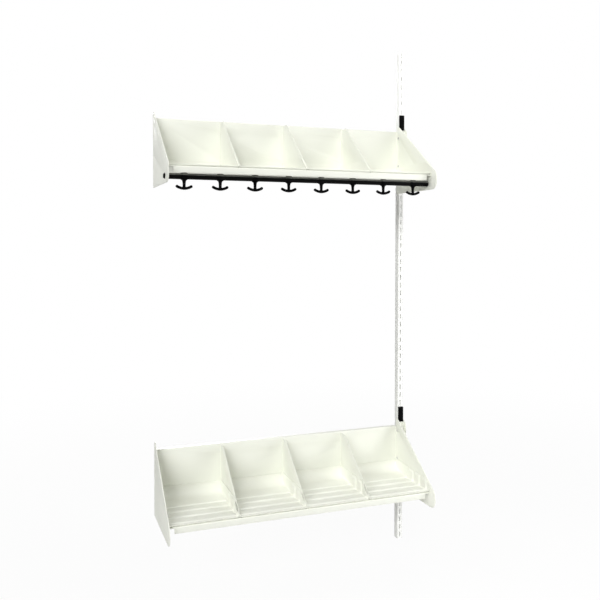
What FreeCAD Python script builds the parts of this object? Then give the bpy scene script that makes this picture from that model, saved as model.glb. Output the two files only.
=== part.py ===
import FreeCAD, Part
import math
import os
import Sketcher
from FreeCAD import Vector

# Wall-hung cloakroom section: a slotted wall rail carries a hat shelf with a hook tube and,
# below it, a shoe shelf. X runs along the wall, +Y into the wall, +Z up, in millimetres.
# The origin is on the rail's front face, midway between its two wall holes.

doc = FreeCAD.newDocument("CloakroomSection")
sheet = doc.addObject("Spreadsheet::Sheet", "Sizes")


class Length:
    """A number of the size sheet together with the formula that gives it."""

    def __init__(self, text, value):
        self.text = text
        self.value = float(value)

    @staticmethod
    def of(other):
        return other if isinstance(other, Length) else Length(repr(other), other)

    def joined(self, other, sign, value):
        return Length("(%s %s %s)" % (self.text, sign, other.text), value)

    def __add__(self, other):
        other = Length.of(other)
        return self.joined(other, "+", self.value + other.value)

    def __sub__(self, other):
        other = Length.of(other)
        return self.joined(other, "-", self.value - other.value)

    def __mul__(self, other):
        other = Length.of(other)
        return self.joined(other, "*", self.value * other.value)

    def __truediv__(self, other):
        other = Length.of(other)
        return self.joined(other, "/", self.value / other.value)

    def __neg__(self):
        return self * -1

    def __radd__(self, other):
        return Length.of(other) + self

    def __rsub__(self, other):
        return Length.of(other) - self

    def __rmul__(self, other):
        return Length.of(other) * self


ZERO = Length("0", 0)
SIZES = {
    # wall rail: a channel whose open side lies on the wall
    "rail_height": 1984,
    "rail_width": 22,
    "rail_depth": 25,
    "rail_wall": 2,
    "rail_bend": 2.5,
    "slot_pitch": 32,
    "slot_width": 5,
    "slot_height": 20,
    "wall_hole_radius": 3,
    # the bay between the two end plates
    "bay_width": 980,
    # end plates
    "plate_thickness": 3,
    "plate_depth": 300,
    "plate_inset": 5,
    "plate_nose_height": 60,
    "plate_back_height": 280,
    "nose_low_radius": 30,
    "nose_high_radius": 30,
    "apex_radius": 12,
    "heel_radius": 4,
    # sheet trays
    "sheet": 1.5,
    "bend_radius": 2,
    "floor_height": 55,
    "hat_panel_height": 251,
    "shoe_panel_height": 238,
    "floor_depth": 266,
    "top_flange": 16,
    "lip_height": 20,
    "lip_setback": 20,
    "end_flange_height": 17,
    "end_flange_start": 40,
    "end_flange_finish": 260,
    # dividers, tabbed through the tray
    "divider_thickness": 1.5,
    "divider_top_depth": 44,
    "divider_foot_depth": 263,
    "divider_drop": 5,
    "divider_nose": 6,
    "divider_corner_radius": 6,
    "tab_width": 18,
    "tab_stand": 1,
    "tab_clearance": 0.3,
    # loose floor liners
    "liner_wall": 2,
    "liner_clearance": 1,
    "liner_end_height": 50,
    "rib_pitch": 49,
    "rib_width": 41,
    "rib_height": 4,
    "rib_front": 35,
    "rib_end_margin": 3,
    "rib_end_chamfer": 7,
    "rim_depth": 5,
    "pad_depth": 97,
    "cove_height": 46,
    "cove_edge": 1,
    "cove_radius": 38,
    # hook tube and its end caps
    "tube_radius": 10,
    "tube_wall": 1.5,
    "tube_setback": 30,
    "tube_height": 23,
    "tube_clearance": 0.3,
    "cap_head": 2,
    "cap_plug": 14,
    "cap_clearance": 0.05,
    # hooks
    "ring_clearance": 0.3,
    "ring_wall": 3,
    "ring_length": 30,
    "neck_width": 22,
    "stem_width": 10,
    "stem_thickness": 8,
    "hook_drop": 34,
    "arm_radius": 4.25,
    "arm_bend": 46,
    # hook-in rail brackets
    "bracket_width": 30,
    "bracket_sheet": 2.5,
    "bracket_reach": 21,
    "bracket_low": 90,
    "bracket_high": 256,
    "bracket_flange_high": 264,
    "tongue_width": 3.5,
    "tongue_neck": 9,
    "tongue_nose": 16,
    "tongue_thickness": 3,
    "tongue_clearance": 0.5,
    "tongue_level": 238,
    "screw_back": 15,
    "screw_low": 111,
    "screw_spacing": 112,
    # lock clips
    "clip_width": 21,
    "clip_height": 60,
    "clip_thickness": 8,
    "clip_radius": 2,
    "clip_gap": 1,
    "clip_tongue_width": 4,
    "clip_tongue_height": 15,
    "clip_tongue_length": 6,
    # screws
    "screw_radius": 2.1,
    "screw_hole_clearance": 0.25,
    "thread_clearance": 0.05,
    "pilot_radius": 1.85,
    "screw_head_radius": 4.75,
    "screw_head_height": 2.5,
    "screw_overrun": 0.5,
    # one overrun for all through cuts
    "overrun": 2,
}
SLOT_COUNT = 62
DIVIDER_COUNT = 3
COMPARTMENTS = DIVIDER_COUNT + 1
HOOK_COUNT = 8
RIB_COUNT = 3
TONGUE_COUNT = 3
TONGUE_SLOT_STEP = 2
CLIP_SLOTS = (1, 2)
UPPER_SLOT = 51
LOWER_SLOT = 14
BACK_TAB_SHARE = 0.2
ARM_ANGLE = math.radians(32)
TOUCH = 1e-6

for row, (word, number) in enumerate(SIZES.items(), start=1):
    sheet.set("A%d" % row, word)
    sheet.set("B%d" % row, str(number))
    sheet.setAlias("B%d" % row, word)
doc.recompute()


class Named:
    """Gives each size of the sheet as an attribute."""

    def __getattr__(self, word):
        return Length("Sizes." + word, SIZES[word])


size = Named()

# Places that several pieces share
plate_outer_x = -(size.bracket_width / 2)
plate_inner_x = plate_outer_x - size.plate_thickness
bay_centre_x = plate_inner_x - size.bay_width / 2
left_inner_x = plate_inner_x - size.bay_width
left_outer_x = left_inner_x - size.plate_thickness
compartment = size.bay_width / COMPARTMENTS
tube_y = size.plate_inset - (size.floor_depth - size.tube_setback)
lowest_slot = -(size.slot_pitch * (SLOT_COUNT - 1) / 2)


def shelf_level(slot):
    """The height of a shelf whose bracket hangs by its top tongue in this slot."""
    return lowest_slot + size.slot_pitch * slot - size.tongue_level


upper_level = shelf_level(UPPER_SLOT)
lower_level = shelf_level(LOWER_SLOT)


def forward(distance):
    """The Y of a place that lies this far in front of the plates' back edge."""
    return size.plate_inset - distance


def bind(thing, prop, length):
    thing.setExpression(prop, Length.of(length).text)


def place(thing, x=ZERO, y=ZERO, z=ZERO):
    for axis, length in zip("xyz", (x, y, z)):
        bind(thing, "Placement.Base." + axis, length)


def new_body(name):
    body = doc.addObject("PartDesign::Body", name)
    body.Label = name
    body.AllowCompound = False
    return body


def new_sketch(body, name, plane, offset=ZERO):
    sketch = body.newObject("Sketcher::SketchObject", name)
    origin_plane = [f for f in body.Origin.OriginFeatures if f.Role == plane][0]
    sketch.AttachmentSupport = [(origin_plane, "")]
    sketch.MapMode = "FlatFace"
    bind(sketch, "AttachmentOffset.Base.z", offset)
    return sketch


def pin_point(sketch, geometry, end, x, y):
    """Ties one point of a sketch to lengths of the size sheet; None leaves that way free."""
    for kind, axis, length in (("DistanceX", -2, x), ("DistanceY", -1, y)):
        if length is None:
            continue
        length = Length.of(length)
        if length.text == "0":
            sketch.addConstraint(Sketcher.Constraint("PointOnObject", geometry, end, axis))
            continue
        index = sketch.addConstraint(
            Sketcher.Constraint(kind, -1, 1, geometry, end, length.value))
        sketch.setExpression("Constraints[%d]" % index, length.text)


def pin_radius(sketch, geometry, length):
    index = sketch.addConstraint(Sketcher.Constraint("Radius", geometry, length.value))
    sketch.setExpression("Constraints[%d]" % index, length.text)


def add_circle(sketch, x, y, radius):
    x, y = Length.of(x), Length.of(y)
    centre = Vector(x.value, y.value, 0)
    index = sketch.addGeometry(Part.Circle(centre, Vector(0, 0, 1), radius.value))
    pin_radius(sketch, index, radius)
    pin_point(sketch, index, 3, x, y)


def add_outline(sketch, corners):
    """A closed outline of (x, y) or (x, y, radius) corners; a radius rounds its corner."""
    corners = [tuple(Length.of(v) for v in corner) for corner in corners]
    count = len(corners)
    points = [Vector(c[0].value, c[1].value, 0) for c in corners]
    starts, ends, arcs = [None] * count, [None] * count, {}
    for i, corner in enumerate(corners):
        here = points[i]
        back = (points[i - 1] - here).normalize()
        ahead = (points[(i + 1) % count] - here).normalize()
        if len(corner) == 2:
            ends[i - 1], starts[i] = here, here
            continue
        half = back.getAngle(ahead) / 2
        trim = corner[2].value / math.tan(half)
        ends[i - 1], starts[i] = here + back * trim, here + ahead * trim
        bisector = (back + ahead).normalize()
        centre = here + bisector * (corner[2].value / math.sin(half))
        middle = centre - bisector * corner[2].value
        arcs[i] = Part.Arc(ends[i - 1], middle, starts[i])
    lines = [sketch.addGeometry(Part.LineSegment(starts[i], ends[i])) for i in range(count)]
    for i, corner in enumerate(corners):
        before, after = lines[i - 1], lines[i]
        if i not in arcs:
            sketch.addConstraint(Sketcher.Constraint("Coincident", before, 2, after, 1))
            pin_point(sketch, after, 1, corner[0], corner[1])
            continue
        arc = sketch.addGeometry(arcs[i])
        first, last = (1, 2)
        if sketch.getPoint(arc, 1).distanceToPoint(ends[i - 1]) > TOUCH:
            first, last = (2, 1)
        sketch.addConstraint(Sketcher.Constraint("Tangent", before, 2, arc, first))
        sketch.addConstraint(Sketcher.Constraint("Tangent", arc, last, after, 1))
        pin_radius(sketch, arc, corner[2])
        mark = sketch.addGeometry(Part.Point(points[i]), True)
        pin_point(sketch, mark, 1, corner[0], corner[1])
        sketch.addConstraint(Sketcher.Constraint("PointOnObject", mark, 1, before))
        sketch.addConstraint(Sketcher.Constraint("PointOnObject", mark, 1, after))


def add_box_outline(sketch, x0, y0, x1, y1, radius=None):
    corners = [(x0, y0), (x1, y0), (x1, y1), (x0, y1)]
    if radius is not None:
        corners = [corner + (radius,) for corner in corners]
    add_outline(sketch, corners)


def pad(body, name, sketch, length, middle=False, backwards=False):
    feature = body.newObject("PartDesign::Pad", name)
    feature.Profile = sketch
    bind(feature, "Length", length)
    feature.Midplane = middle
    feature.Reversed = backwards
    body.Tip = feature
    return feature


def pocket(body, name, sketch, length, middle=False, backwards=False):
    """A cut that is compared with the solid before it, because a missed cut shows no error."""
    doc.recompute()
    before = body.Shape.Volume
    feature = body.newObject("PartDesign::Pocket", name)
    feature.Profile = sketch
    bind(feature, "Length", length)
    feature.Midplane = middle
    feature.Reversed = backwards
    body.Tip = feature
    doc.recompute()
    if not feature.Shape.Volume < before:
        raise RuntimeError("%s cuts nothing" % feature.Label)
    return feature


def repeat(body, name, features, sketch, axis, length, count):
    pattern = body.newObject("PartDesign::LinearPattern", name)
    pattern.Originals = features
    pattern.Direction = (sketch, [axis])
    bind(pattern, "Length", length)
    pattern.Occurrences = count
    body.Tip = pattern
    return pattern


def mirror(body, name, features, plane):
    origin_plane = [f for f in body.Origin.OriginFeatures if f.Role == plane][0]
    mirrored = body.newObject("PartDesign::Mirrored", name)
    mirrored.Originals = features
    mirrored.MirrorPlane = (origin_plane, [""])
    body.Tip = mirrored
    return mirrored


def make_rail():
    body = new_body("wall_rail")
    half = size.rail_width / 2
    inner = half - size.rail_wall
    inside_bend = size.rail_bend - size.rail_wall
    profile = new_sketch(body, "rail_profile", "XY_Plane")
    add_outline(profile, [
        (-half, ZERO, size.rail_bend), (half, ZERO, size.rail_bend), (half, size.rail_depth),
        (inner, size.rail_depth), (inner, size.rail_wall, inside_bend),
        (-inner, size.rail_wall, inside_bend), (-inner, size.rail_depth),
        (-half, size.rail_depth)])
    pad(body, "rail_channel", profile, size.rail_height, middle=True)
    slot = new_sketch(body, "rail_slot", "XZ_Plane")
    add_box_outline(slot, -(size.slot_width / 2), lowest_slot - size.slot_height / 2,
                    size.slot_width / 2, lowest_slot + size.slot_height / 2)
    cut = pocket(body, "first_slot", slot, size.rail_wall + size.overrun)
    repeat(body, "slots", [cut], slot, "V_Axis", size.slot_pitch * (SLOT_COUNT - 1), SLOT_COUNT)
    holes = new_sketch(body, "wall_hole_places", "XZ_Plane")
    for level in (lowest_slot + size.slot_pitch / 2, -lowest_slot - size.slot_pitch / 2):
        add_circle(holes, ZERO, level, size.wall_hole_radius)
    pocket(body, "wall_holes", holes, size.rail_wall + size.overrun)
    return body


def make_end_plate(name, x, level, has_tube):
    body = new_body(name)
    outline = new_sketch(body, name + "_outline", "YZ_Plane")
    add_outline(outline, [
        (forward(ZERO), ZERO, size.heel_radius),
        (forward(size.plate_depth), ZERO, size.nose_low_radius),
        (forward(size.plate_depth), size.plate_nose_height, size.nose_high_radius),
        (forward(ZERO), size.plate_back_height, size.apex_radius)])
    hole = size.screw_radius + size.screw_hole_clearance
    for height in (size.screw_low, size.screw_low + size.screw_spacing):
        add_circle(outline, forward(size.screw_back), height, hole)
    if has_tube:
        add_circle(outline, tube_y, size.tube_height, size.tube_radius + size.tube_clearance)
    pad(body, name + "_sheet", outline, size.plate_thickness)
    place(body, x=x, z=level)
    return body


def make_tray(name, level, panel):
    body = new_body(name)
    inside, outside = size.bend_radius, size.bend_radius + size.sheet
    rear = size.plate_inset
    front = forward(size.floor_depth)
    under = size.floor_height - size.sheet
    profile = new_sketch(body, name + "_profile", "YZ_Plane")
    add_outline(profile, [
        (rear - size.sheet, panel, outside),
        (rear + size.top_flange, panel),
        (rear + size.top_flange, panel - size.sheet),
        (rear, panel - size.sheet, inside),
        (rear, under, outside),
        (front + size.sheet, under, inside),
        (front + size.sheet, under - size.lip_height),
        (front, under - size.lip_height),
        (front, size.floor_height, outside),
        (rear - size.sheet, size.floor_height, inside)])
    pad(body, name + "_folded_sheet", profile, size.bay_width, middle=True)
    notch = new_sketch(body, name + "_lip_notch", "XZ_Plane")
    add_box_outline(notch, size.bay_width / 2 - size.lip_setback,
                    under - size.lip_height - size.overrun,
                    size.bay_width / 2 + size.overrun, under - inside)
    notch.setExpression("AttachmentOffset.Base.z", (-(front - size.overrun)).text)
    cut = pocket(body, name + "_notch", notch, size.sheet + size.overrun * 2)
    mirror(body, name + "_notches", [cut], "YZ_Plane")
    flange = new_sketch(body, name + "_end_flange", "YZ_Plane",
                        size.bay_width / 2 - size.sheet)
    add_box_outline(flange, forward(size.end_flange_finish), under - size.end_flange_height,
                    forward(size.end_flange_start), size.floor_height - size.sheet / 2)
    tab = pad(body, name + "_flange", flange, size.sheet)
    mirror(body, name + "_flanges", [tab], "YZ_Plane")
    make_divider_slots(body, name, panel)
    place(body, x=bay_centre_x, z=level)
    return body


def divider_floor_tabs():
    """How far forward the two floor tabs of a divider start."""
    return (size.divider_top_depth, size.floor_depth - size.divider_top_depth - size.tab_width)


def divider_back_tabs(panel):
    """How high the two back tabs of a divider start."""
    inset = (panel - size.floor_height) * BACK_TAB_SHARE
    return (size.floor_height + inset, panel - inset - size.tab_width)


def make_divider_slots(body, name, panel):
    half = size.divider_thickness / 2 + size.tab_clearance
    first = -compartment
    floor = new_sketch(body, name + "_floor_slots", "XY_Plane", size.floor_height)
    for start in divider_floor_tabs():
        add_box_outline(floor, first - half, forward(start + size.tab_width + size.tab_clearance),
                        first + half, forward(start - size.tab_clearance))
    through = size.sheet + size.overrun
    floor_cut = pocket(body, name + "_floor_slot", floor, through)
    back = new_sketch(body, name + "_back_slots", "XZ_Plane", size.sheet - size.plate_inset)
    for start in divider_back_tabs(panel):
        add_box_outline(back, first - half, start - size.tab_clearance, first + half,
                        start + size.tab_width + size.tab_clearance)
    back_cut = pocket(body, name + "_back_slot", back, through)
    repeat(body, name + "_slots", [floor_cut, back_cut], back, "H_Axis",
           compartment * (DIVIDER_COUNT - 1), DIVIDER_COUNT)


def make_divider(name, index, level, panel):
    body = new_body(name)
    rear = size.plate_inset - size.sheet
    rear_tab = size.plate_inset + size.tab_stand
    low_tab = size.floor_height - size.sheet - size.tab_stand
    top = panel - size.divider_drop
    front = forward(size.divider_foot_depth)
    outline = new_sketch(body, name + "_outline", "YZ_Plane")
    corners = [(rear - size.bend_radius, size.floor_height)]
    for start in divider_floor_tabs():
        near, far = forward(start), forward(start + size.tab_width)
        corners += [(near, size.floor_height), (near, low_tab), (far, low_tab),
                    (far, size.floor_height)]
    corners += [
        (front, size.floor_height),
        (front, size.floor_height + size.divider_nose),
        (forward(size.divider_top_depth), top, size.divider_corner_radius),
        (rear, top)]
    for start in reversed(divider_back_tabs(panel)):
        low, high = start, start + size.tab_width
        corners += [(rear, high), (rear_tab, high), (rear_tab, low), (rear, low)]
    corners += [(rear, size.floor_height + size.bend_radius)]
    add_outline(outline, corners)
    pad(body, name + "_sheet", outline, size.divider_thickness, middle=True)
    place(body, x=left_inner_x + compartment * index, z=level)
    return body


def make_liner(name, index, level, panel):
    """A loose mat: broad ribs that end as fingers on both end walls, and a coved back."""
    body = new_body(name)
    half = (compartment - size.divider_thickness) / 2 - size.liner_clearance
    wall, high = size.liner_wall, size.liner_end_height
    gap = size.sheet + size.bend_radius + size.liner_clearance
    depth = size.floor_depth - size.sheet - gap - size.liner_clearance
    profile = new_sketch(body, name + "_profile", "XZ_Plane")
    add_outline(profile, [
        (-half, ZERO, size.bend_radius), (half, ZERO, size.bend_radius), (half, high),
        (half - wall, high), (half - wall, wall), (wall - half, wall), (wall - half, high),
        (-half, high)])
    pad(body, name + "_shell", profile, depth)
    crown = wall + size.rib_height
    front = size.rib_front - depth
    near, far = front - size.rib_width / 2, front + size.rib_width / 2
    floor_rib = new_sketch(body, name + "_floor_rib", "YZ_Plane")
    add_box_outline(floor_rib, near, wall / 2, far, crown)
    ribs = [pad(body, name + "_rib", floor_rib, (half - wall / 2) * 2, middle=True)]
    for word, place_x, backwards in (("left", wall / 2 - half, False),
                                     ("right", half - wall / 2, True)):
        finger = new_sketch(body, name + "_" + word + "_finger", "YZ_Plane", place_x)
        top, chamfer = high - size.rib_end_margin, size.rib_end_chamfer
        add_outline(finger, [(near, wall), (far, wall), (far, top - chamfer),
                             (far - chamfer, top), (near + chamfer, top), (near, top - chamfer)])
        ribs.append(pad(body, name + "_" + word + "_end", finger,
                        size.rib_height + wall / 2, backwards=backwards))
    repeat(body, name + "_ribs", ribs, floor_rib, "H_Axis", size.rib_pitch * (RIB_COUNT - 1),
           RIB_COUNT)
    rim = new_sketch(body, name + "_rim_section", "YZ_Plane")
    add_box_outline(rim, -depth, wall / 2, size.rim_depth - depth, crown)
    pad(body, name + "_rim", rim, (half - wall / 2) * 2, middle=True)
    back = new_sketch(body, name + "_back_section", "YZ_Plane")
    add_outline(back, [
        (ZERO, wall / 2), (ZERO, size.cove_height), (-size.cove_edge, size.cove_height),
        (-size.cove_edge, crown, size.cove_radius), (-size.pad_depth, crown),
        (-size.pad_depth, wall / 2)])
    pad(body, name + "_back", back, (half - wall / 2) * 2, middle=True)
    run = size.divider_foot_depth - size.divider_top_depth
    rise = panel - size.divider_drop - size.floor_height - size.divider_nose
    for word, place_x, backwards, at_divider in (
            ("left", -half - size.overrun, True, index > 1),
            ("right", half + size.overrun, False, index < COMPARTMENTS)):
        if at_divider:
            trim = new_sketch(body, name + "_" + word + "_trim", "YZ_Plane", place_x)
            above = high + size.overrun
            add_outline(trim, [
                (-depth - size.overrun, crown), (-depth, crown),
                (-depth + (above - crown) * run / rise, above), (-depth - size.overrun, above)])
            pocket(body, name + "_" + word + "_corner", trim,
                   size.overrun + crown, backwards=backwards)
    shift = size.divider_thickness / 4
    middle = left_inner_x + compartment * (index - 0.5)
    if index == 1:
        middle = middle - shift
    if index == COMPARTMENTS:
        middle = middle + shift
    place(body, x=middle, y=size.plate_inset - gap, z=level + size.floor_height)
    return body


def make_tube():
    body = new_body("hook_tube")
    ring = new_sketch(body, "tube_section", "YZ_Plane")
    add_circle(ring, ZERO, ZERO, size.tube_radius)
    add_circle(ring, ZERO, ZERO, size.tube_radius - size.tube_wall)
    pad(body, "tube_length", ring, size.bay_width + size.plate_thickness * 2, middle=True)
    place(body, bay_centre_x, tube_y, upper_level + size.tube_height)
    return body


def make_cap(name, x, outwards):
    body = new_body(name)
    head = new_sketch(body, name + "_head", "YZ_Plane")
    add_circle(head, ZERO, ZERO, size.tube_radius)
    pad(body, name + "_disc", head, size.cap_head, backwards=outwards < 0)
    plug = new_sketch(body, name + "_plug", "YZ_Plane")
    add_circle(plug, ZERO, ZERO, size.tube_radius - size.tube_wall - size.cap_clearance)
    pad(body, name + "_stub", plug, size.cap_plug, backwards=outwards > 0)
    place(body, x, tube_y, upper_level + size.tube_height)
    return body


def add_arm_band(sketch, centre, reach):
    """The two arms of a hook as one bent band with round ends, hanging below its centre."""
    half = size.arm_radius
    tip_x = size.arm_bend * math.sin(reach)
    tip_z = centre - size.arm_bend * math.cos(reach)
    quarter, half_turn = math.pi / 2, math.pi
    arcs = []
    for x, z, radius, is_tip, turns in (
            (ZERO, centre, size.arm_bend + half, False, (-reach, 0, reach)),
            (tip_x, tip_z, half, True, (reach, reach + quarter, reach + half_turn)),
            (ZERO, centre, size.arm_bend - half, False, (reach, 0, -reach)),
            (-tip_x, tip_z, half, True, (-reach - half_turn, -reach - quarter, -reach))):
        points = [Vector(x.value + radius.value * math.sin(turn),
                         z.value - radius.value * math.cos(turn), 0) for turn in turns]
        arc = sketch.addGeometry(Part.Arc(*points))
        first = 1 if sketch.getPoint(arc, 1).distanceToPoint(points[0]) < TOUCH else 2
        pin_point(sketch, arc, 3, x, None if is_tip else z)
        if not is_tip:
            pin_radius(sketch, arc, radius)
        arcs.append((arc, first, 3 - first))
    for (before, _, last), (after, first, _) in zip(arcs, arcs[1:] + arcs[:1]):
        sketch.addConstraint(Sketcher.Constraint("Tangent", before, last, after, first))


def make_hook(name, index):
    body = new_body(name)
    bore = size.tube_radius + size.ring_clearance
    ring = new_sketch(body, name + "_ring", "YZ_Plane")
    add_circle(ring, ZERO, ZERO, bore + size.ring_wall)
    add_circle(ring, ZERO, ZERO, bore)
    pad(body, name + "_collar", ring, size.ring_length, middle=True)
    arm_low = -(size.tube_radius + size.hook_drop - size.arm_radius)
    neck_top = -(bore + size.ring_wall / 2)
    neck_low = -(bore + size.ring_wall * 2)
    stem = new_sketch(body, name + "_stem", "XZ_Plane")
    neck, narrow = size.neck_width / 2, size.stem_width / 2
    add_outline(stem, [
        (-neck, neck_top), (neck, neck_top), (narrow, neck_low), (narrow, arm_low),
        (-narrow, arm_low), (-narrow, neck_low)])
    pad(body, name + "_shank", stem, size.stem_thickness, middle=True)
    band = new_sketch(body, name + "_arm_outline", "XZ_Plane")
    add_arm_band(band, arm_low + size.arm_bend, ARM_ANGLE)
    pad(body, name + "_arms", band, size.arm_radius * 2, middle=True)
    place(body, left_inner_x + size.bay_width * ((index - 0.5) / HOOK_COUNT), tube_y,
          upper_level + size.tube_height)
    return body


def make_bracket(name, level):
    """A hook-in bracket: its left holes have formed threads, its right ones are pilot holes."""
    body = new_body(name)
    half = size.bracket_width / 2
    web = new_sketch(body, name + "_web", "XZ_Plane")
    add_box_outline(web, -half, size.bracket_low, half, size.bracket_high)
    pad(body, name + "_plate", web, size.bracket_sheet)
    slope = (size.plate_back_height - size.plate_nose_height) / size.plate_depth
    for word, place_x, hole in (
            ("left", -half, size.screw_radius + size.thread_clearance),
            ("right", half - size.bracket_sheet, size.pilot_radius)):
        side = new_sketch(body, "%s_%s_side" % (name, word), "YZ_Plane", place_x)
        add_outline(side, [
            (ZERO, size.bracket_low), (ZERO, size.bracket_high),
            (-size.bracket_sheet, size.bracket_flange_high),
            (-size.bracket_reach - size.bracket_sheet,
             size.bracket_flange_high - slope * size.bracket_reach),
            (-size.bracket_reach - size.bracket_sheet, size.bracket_low)])
        for height in (size.screw_low, size.screw_low + size.screw_spacing):
            add_circle(side, forward(size.screw_back), height, hole)
        pad(body, "%s_%s_flange" % (name, word), side, size.bracket_sheet)
    bottom = size.tongue_level - size.slot_height / 2
    top = bottom + size.tongue_neck
    nose_near = size.rail_wall + size.tongue_clearance
    nose_far = nose_near + size.tongue_thickness
    low = top - size.tongue_nose
    tongue = new_sketch(body, name + "_tongue", "YZ_Plane")
    root = -size.bracket_sheet
    add_outline(tongue, [(root, bottom), (nose_near, bottom), (nose_near, low), (nose_far, low),
                         (nose_far, top), (root, top)])
    first = pad(body, name + "_hook", tongue, size.tongue_width, middle=True)
    hooks = repeat(body, name + "_hooks", [first], tongue, "V_Axis",
                   size.slot_pitch * (TONGUE_SLOT_STEP * (TONGUE_COUNT - 1)), TONGUE_COUNT)
    hooks.Reversed = True
    place(body, z=level)
    return body


def make_clip(name, level):
    body = new_body(name)
    face = new_sketch(body, name + "_face", "XZ_Plane")
    add_box_outline(face, -(size.clip_width / 2), ZERO, size.clip_width / 2, size.clip_height,
                    size.clip_radius)
    pad(body, name + "_block", face, size.clip_thickness)
    tongues = new_sketch(body, name + "_tongues", "XZ_Plane")
    foot = size.bracket_high + size.clip_gap
    for step in CLIP_SLOTS:
        middle = size.tongue_level + size.slot_pitch * step - foot
        add_box_outline(tongues, -(size.clip_tongue_width / 2),
                        middle - size.clip_tongue_height / 2, size.clip_tongue_width / 2,
                        middle + size.clip_tongue_height / 2)
    pad(body, name + "_legs", tongues, size.clip_tongue_length, backwards=True)
    place(body, z=level + foot)
    return body


def make_bracket_screws(name, level):
    """The two pan head screws that hold a right plate to its bracket, as one group."""
    screws = []
    shank_length = size.plate_thickness + size.bracket_sheet + size.screw_overrun
    for number, height in enumerate((size.screw_low, size.screw_low + size.screw_spacing), 1):
        rods = []
        for word, radius, length, x in (
                ("head", size.screw_head_radius, size.screw_head_height,
                 plate_inner_x - size.screw_head_height),
                ("shank", size.screw_radius, shank_length, plate_inner_x)):
            rod = doc.addObject("Part::Cylinder", "%s_%d_%s" % (name, number, word))
            bind(rod, "Radius", radius)
            bind(rod, "Height", length)
            rod.Placement.Rotation = FreeCAD.Rotation(Vector(0, 0, 1), Vector(1, 0, 0))
            place(rod, x, forward(size.screw_back), level + height)
            rods.append(rod)
        screw = doc.addObject("Part::Fuse", "%s_%d" % (name, number))
        screw.Base, screw.Tool = rods
        screws.append(screw)
    group = doc.addObject("Part::Compound", name)
    group.Label = name
    group.Links = screws
    return group


def make_shelf(word, level, panel, has_tube):
    """One unit: its end plates, tray, dividers, liners, bracket, clip and screws."""
    parts = [
        make_end_plate(word + "_left_plate", left_outer_x, level, has_tube),
        make_end_plate(word + "_right_plate", plate_inner_x, level, has_tube),
        make_tray(word + "_tray", level, panel)]
    for index in range(1, DIVIDER_COUNT + 1):
        parts.append(make_divider("%s_divider_%d" % (word, index), index, level, panel))
    for index in range(1, COMPARTMENTS + 1):
        parts.append(make_liner("%s_liner_%d" % (word, index), index, level, panel))
    parts.append(make_bracket(word + "_rail_bracket", level))
    parts.append(make_bracket_screws(word + "_bracket_screws", level))
    parts.append(make_clip(word + "_lock_clip", level))
    return parts


def check(parts):
    doc.recompute()
    for thing in doc.Objects:
        if "Invalid" in thing.State or "Error" in thing.State:
            raise RuntimeError("%s is not built: %s" % (thing.Label, thing.State))
    for part in parts:
        if part.Shape.isNull() or not part.Shape.isValid():
            raise RuntimeError("%s has no valid shape" % part.Label)


def export(parts):
    os.makedirs("parts", exist_ok=True)
    for part in parts:
        part.Shape.exportStep("parts/%s.step" % part.Label)


pieces = [make_rail()]
pieces += make_shelf("upper", upper_level, size.hat_panel_height, has_tube=True)
pieces += make_shelf("lower", lower_level, size.shoe_panel_height, has_tube=False)
pieces.append(make_tube())
pieces.append(make_cap("left_tube_cap", left_outer_x, -1))
pieces.append(make_cap("right_tube_cap", plate_outer_x, 1))
for hook_number in range(1, HOOK_COUNT + 1):
    pieces.append(make_hook("coat_hook_%d" % hook_number, hook_number))
check(pieces)
export(pieces)
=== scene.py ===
"""Looks for the cloakroom wall section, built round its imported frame, in metres."""
import math

import bmesh
import bpy
from mathutils import Matrix, Vector


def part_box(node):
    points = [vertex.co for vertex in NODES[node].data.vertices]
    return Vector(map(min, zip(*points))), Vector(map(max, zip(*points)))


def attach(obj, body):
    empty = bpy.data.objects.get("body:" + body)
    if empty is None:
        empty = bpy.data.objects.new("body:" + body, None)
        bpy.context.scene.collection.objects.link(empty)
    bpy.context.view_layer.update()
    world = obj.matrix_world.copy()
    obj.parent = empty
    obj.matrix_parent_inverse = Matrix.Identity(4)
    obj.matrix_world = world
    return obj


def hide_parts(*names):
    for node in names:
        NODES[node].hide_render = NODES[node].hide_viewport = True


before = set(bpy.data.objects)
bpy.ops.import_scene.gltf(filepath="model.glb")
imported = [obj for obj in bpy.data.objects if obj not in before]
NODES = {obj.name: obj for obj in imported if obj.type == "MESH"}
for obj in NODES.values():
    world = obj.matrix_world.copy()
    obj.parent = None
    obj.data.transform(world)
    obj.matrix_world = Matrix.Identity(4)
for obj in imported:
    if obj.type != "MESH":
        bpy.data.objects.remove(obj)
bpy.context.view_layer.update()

MM = 0.001
SHELVES = ("upper", "lower")
COMPARTMENTS = 4
HOOKS = 8
ROOT = "section"


def box_of(node):
    """The two corners of a node's box."""
    low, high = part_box(node)
    return Vector(low), Vector(high)


def centre_of(node):
    low, high = box_of(node)
    return (low + high) / 2


# Node trees
class Wire:
    """An output of a node that sums and products can be written with."""

    def __init__(self, board, socket):
        self.board = board
        self.socket = socket

    def maths(self, operation, first, second):
        return self.board.node("ShaderNodeMath", {"operation": operation}, {0: first, 1: second})

    def __add__(self, other):
        return self.maths("ADD", self, other)

    def __radd__(self, other):
        return self.maths("ADD", other, self)

    def __mul__(self, other):
        return self.maths("MULTIPLY", self, other)

    def __rmul__(self, other):
        return self.maths("MULTIPLY", other, self)

    def clamp(self, low, high):
        return self.board.node("ShaderNodeClamp", {}, {"Value": self, "Min": low, "Max": high})


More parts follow.
